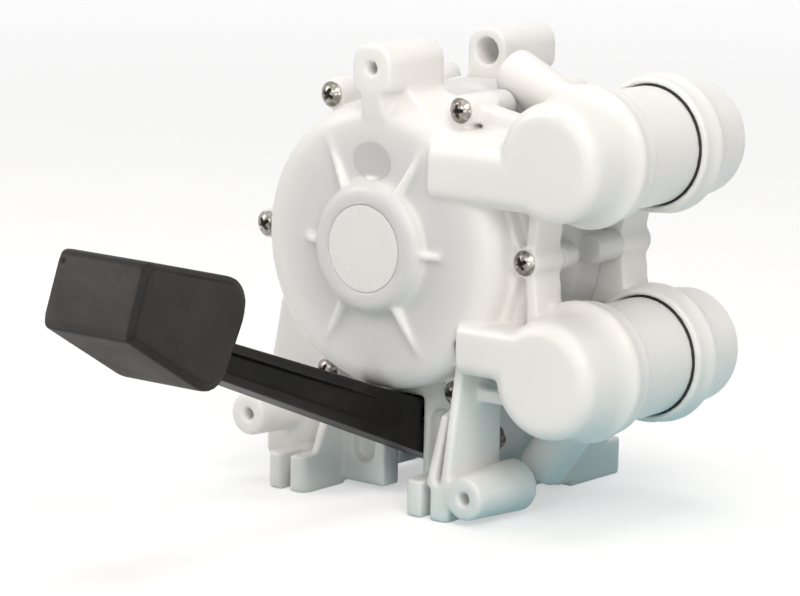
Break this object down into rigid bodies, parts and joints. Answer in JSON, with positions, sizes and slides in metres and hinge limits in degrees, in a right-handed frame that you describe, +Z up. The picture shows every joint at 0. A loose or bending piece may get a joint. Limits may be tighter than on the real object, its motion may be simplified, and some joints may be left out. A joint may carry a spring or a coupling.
{
  "type": "foot-operated diaphragm bilge pump",
  "caption": "Double-acting diaphragm pump worked by a foot lever, with valve chambers and swivelling hose tails at one side and feet and tubes for screws.",
  "frame": {"origin": "on the ground plane of the feet, under the head axis, midway between the two covers", "axes": "+Z up; -Y towards the pedal, +Y to the rear cover; +X towards the valve chambers"},
  "size_m": [0.1471, 0.227, 0.1485],
  "materials": {
    "moulded_white": "satin moulded acetal",
    "frame_white": "satin moulded acetal, a little greyer in the shade",
    "bearing_ivory": "natural low-friction plastic",
    "lever_black": "scuffed moulded nylon",
    "pad_rubber": "dull rubber",
    "seal_rubber": "smooth rubber",
    "stainless": "bright stainless",
    "disc_white": "bare glossy film",
    "sticker_grey": "bare grey film"
  },
  "bodies": {
    "pump": {"centre_frame": "frame_white", "front_cover": "moulded_white", "rear_cover": "moulded_white", "front_screws": "stainless", "rear_screws": "stainless", "name_disc": "disc_white", "inspection_sticker": "sticker_grey", "pivot_pin": "stainless", "pivot_bushes": "bearing_ivory", "pin_clips": "stainless", "return_spring": "stainless", "front_diaphragm": "seal_rubber", "rear_diaphragm": "seal_rubber", "outlet_seals": "seal_rubber", "inlet_seals": "seal_rubber", "front_outlet_seat": "bearing_ivory", "rear_outlet_seat": "bearing_ivory", "front_inlet_seat": "bearing_ivory", "rear_inlet_seat": "bearing_ivory"},
    "lever": {"foot_lever": "lever_black", "pedal_pad": "pad_rubber", "drive_pin": "stainless"},
    "yoke": {"drive_yoke": "bearing_ivory", "front_clamp_plate": "bearing_ivory", "rear_clamp_plate": "bearing_ivory", "clamp_screws": "stainless"},
    "outlet_port": {"outlet_manifold": "moulded_white"},
    "inlet_port": {"inlet_manifold": "moulded_white"},
    "front_outlet_flap_valve": {"front_outlet_flap": "seal_rubber"},
    "rear_outlet_flap_valve": {"rear_outlet_flap": "seal_rubber"},
    "front_inlet_flap_valve": {"front_inlet_flap": "seal_rubber"},
    "rear_inlet_flap_valve": {"rear_inlet_flap": "seal_rubber"}
  },
  "joints": [
    {"name": "lever_pivot", "type": "hinge", "parent": "pump", "child": "lever", "pos_m": [0, -0.013, 0.0215], "axis": [1, 0, 0], "range_deg": [0, 18], "stiffness_Nm_per_rad": 1.5, "springref_deg": -20.05, "deforming": ["return_spring"]},
    {"name": "yoke_slide", "type": "slide", "parent": "pump", "child": "yoke", "axis": [0, 1, 0], "range_m": [-0.0197, 0], "deforming": ["front_diaphragm", "rear_diaphragm"]},
    {"name": "outlet_swivel", "type": "hinge", "parent": "pump", "child": "outlet_port", "pos_m": [0.067, 0, 0.1178], "axis": [0, 1, 0], "range_deg": [0, 155]},
    {"name": "inlet_swivel", "type": "hinge", "parent": "pump", "child": "inlet_port", "pos_m": [0.067, 0, 0.0502], "axis": [0, 1, 0], "range_deg": [-127, 0]},
    {"name": "front_outlet_flap_hinge", "type": "hinge", "parent": "pump", "child": "front_outlet_flap_valve", "pos_m": [0.067, -0.0189, 0.1293], "axis": [1, 0, 0], "range_deg": [0, 25], "stiffness_Nm_per_rad": 0.001},
    {"name": "rear_outlet_flap_hinge", "type": "hinge", "parent": "pump", "child": "rear_outlet_flap_valve", "pos_m": [0.067, 0.0189, 0.1293], "axis": [-1, 0, 0], "range_deg": [0, 25], "stiffness_Nm_per_rad": 0.001},
    {"name": "front_inlet_flap_hinge", "type": "hinge", "parent": "pump", "child": "front_inlet_flap_valve", "pos_m": [0.067, -0.0229, 0.0617], "axis": [-1, 0, 0], "range_deg": [0, 25], "stiffness_Nm_per_rad": 0.001},
    {"name": "rear_inlet_flap_hinge", "type": "hinge", "parent": "pump", "child": "rear_inlet_flap_valve", "pos_m": [0.067, 0.0229, 0.0617], "axis": [1, 0, 0], "range_deg": [0, 25], "stiffness_Nm_per_rad": 0.001}
  ],
  "couplings": [
    {"joint": "yoke_slide", "follows": "lever_pivot", "m_per_rad": -0.06207}
  ]
}
